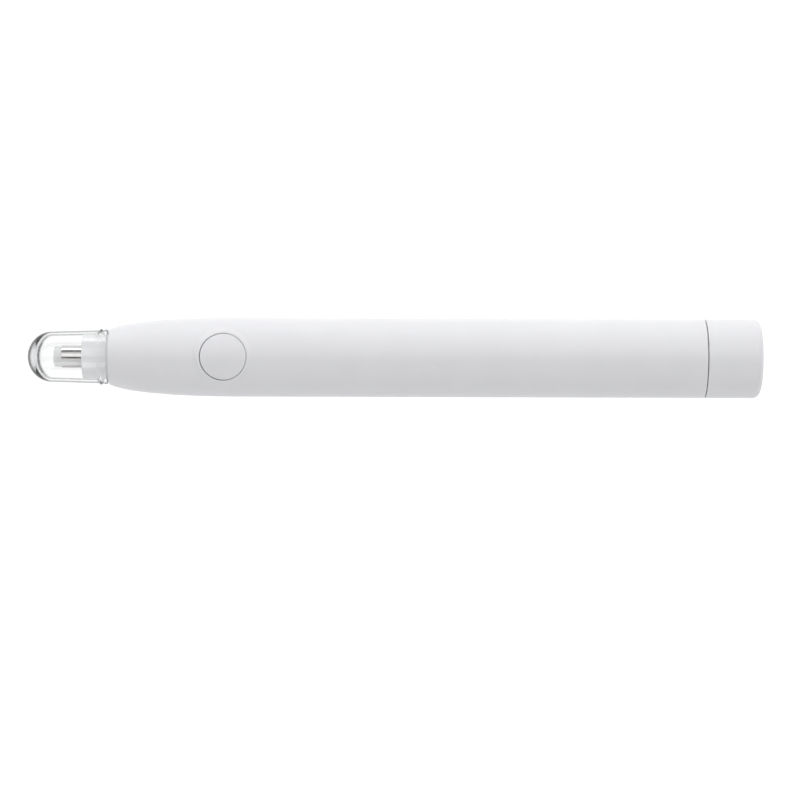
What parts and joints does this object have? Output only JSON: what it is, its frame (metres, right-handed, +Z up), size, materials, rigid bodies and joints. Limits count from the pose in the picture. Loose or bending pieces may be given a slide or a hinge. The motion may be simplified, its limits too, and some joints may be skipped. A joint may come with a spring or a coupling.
{
  "type": "electric eraser",
  "caption": "Pen-shaped battery-powered electric eraser with push button, clear domed nose cap, slotted metal chuck and twist-off rear battery cap.",
  "frame": {"origin": "on the surface it lies on, under the middle of its length", "axes": "+X along the tool towards the rear cap, +Z up through the push button"},
  "size_m": [0.1784, 0.0192, 0.0193],
  "materials": {
    "casing": "satin white moulding",
    "clear": "clear moulding",
    "collar": "milky moulding",
    "eraser": "soft white vinyl",
    "chromed": "bright plated",
    "brass": "turned brass",
    "bronze": "sintered bronze",
    "copper": "copper",
    "steel": "plain steel",
    "laminations": "stacked steel sheets",
    "nickel": "nickel-plated spring strip",
    "ferrite": "dark ferrite",
    "frame_grey": "grey moulding",
    "black": "black moulding",
    "natural": "natural nylon",
    "board": "green solder resist",
    "chip": "moulded chip body",
    "wire_red": "red insulation",
    "wire_black": "black insulation",
    "cell": "blue-grey cell jacket"
  },
  "bodies": {
    "housing": {"barrel": "casing", "nose_collar": "collar", "nose_bush": "bronze", "motor_can": "steel", "motor_magnets": "ferrite", "motor_bearings": "bronze", "motor_end_bell": "black", "motor_terminals": "nickel", "motor_brushes": "copper", "motor_screws": "steel", "motor_frame": "frame_grey", "switch_board": "board", "board_screws": "steel", "switch_housing": "black", "switch_cover": "nickel", "switch_dome": "nickel", "switch_terminals": "nickel", "driver_chip": "chip", "control_chip": "chip", "chip_parts": "natural", "motor_lead_red": "wire_red", "motor_lead_black": "wire_black", "positive_lead": "wire_red", "negative_lead": "wire_black", "battery_tube": "natural", "battery_front": "cell", "battery_rear": "cell", "positive_contact": "nickel", "negative_strip": "nickel"},
    "clear_cap": {"clear_cap": "clear"},
    "button": {"button": "casing", "switch_plunger": "natural"},
    "rotor": {"motor_shaft": "steel", "rotor_core": "laminations", "rotor_windings": "copper", "commutator_core": "black", "commutator_segments": "copper", "chuck_hub": "brass", "chuck": "chromed"},
    "refill": {"eraser_refill": "eraser"},
    "contact_slide": {"contact_carrier": "frame_grey", "rear_contact_plate": "nickel", "negative_spring": "nickel"},
    "rear_cap": {"rear_cap": "casing"}
  },
  "joints": [
    {"name": "cap_pull", "type": "slide", "parent": "housing", "child": "clear_cap", "axis": [-1, 0, 0], "range_m": [0, 0.035]},
    {"name": "rotor_spin", "type": "hinge", "parent": "housing", "child": "rotor", "pos_m": [0, 0, 0.00954], "axis": [1, 0, 0], "continuous": true},
    {"name": "refill_feed", "type": "slide", "parent": "rotor", "child": "refill", "axis": [-1, 0, 0], "range_m": [0, 0.004]},
    {"name": "button_press", "type": "slide", "parent": "housing", "child": "button", "axis": [0, 0, -1], "range_m": [0, 0.0003], "stiffness_N_per_m": 400, "springref_m": -0.001},
    {"name": "rear_cap_travel", "type": "slide", "parent": "housing", "child": "contact_slide", "axis": [1, 0, 0], "range_m": [0, 0.016]},
    {"name": "rear_cap_twist", "type": "hinge", "parent": "contact_slide", "child": "rear_cap", "pos_m": [0.0808, 0, 0.00954], "axis": [1, 0, 0], "range_deg": [0, 360]}
  ],
  "couplings": [
    {"joint": "rear_cap_travel", "follows": "rear_cap_twist", "m_per_rad": 0.0025465}
  ]
}
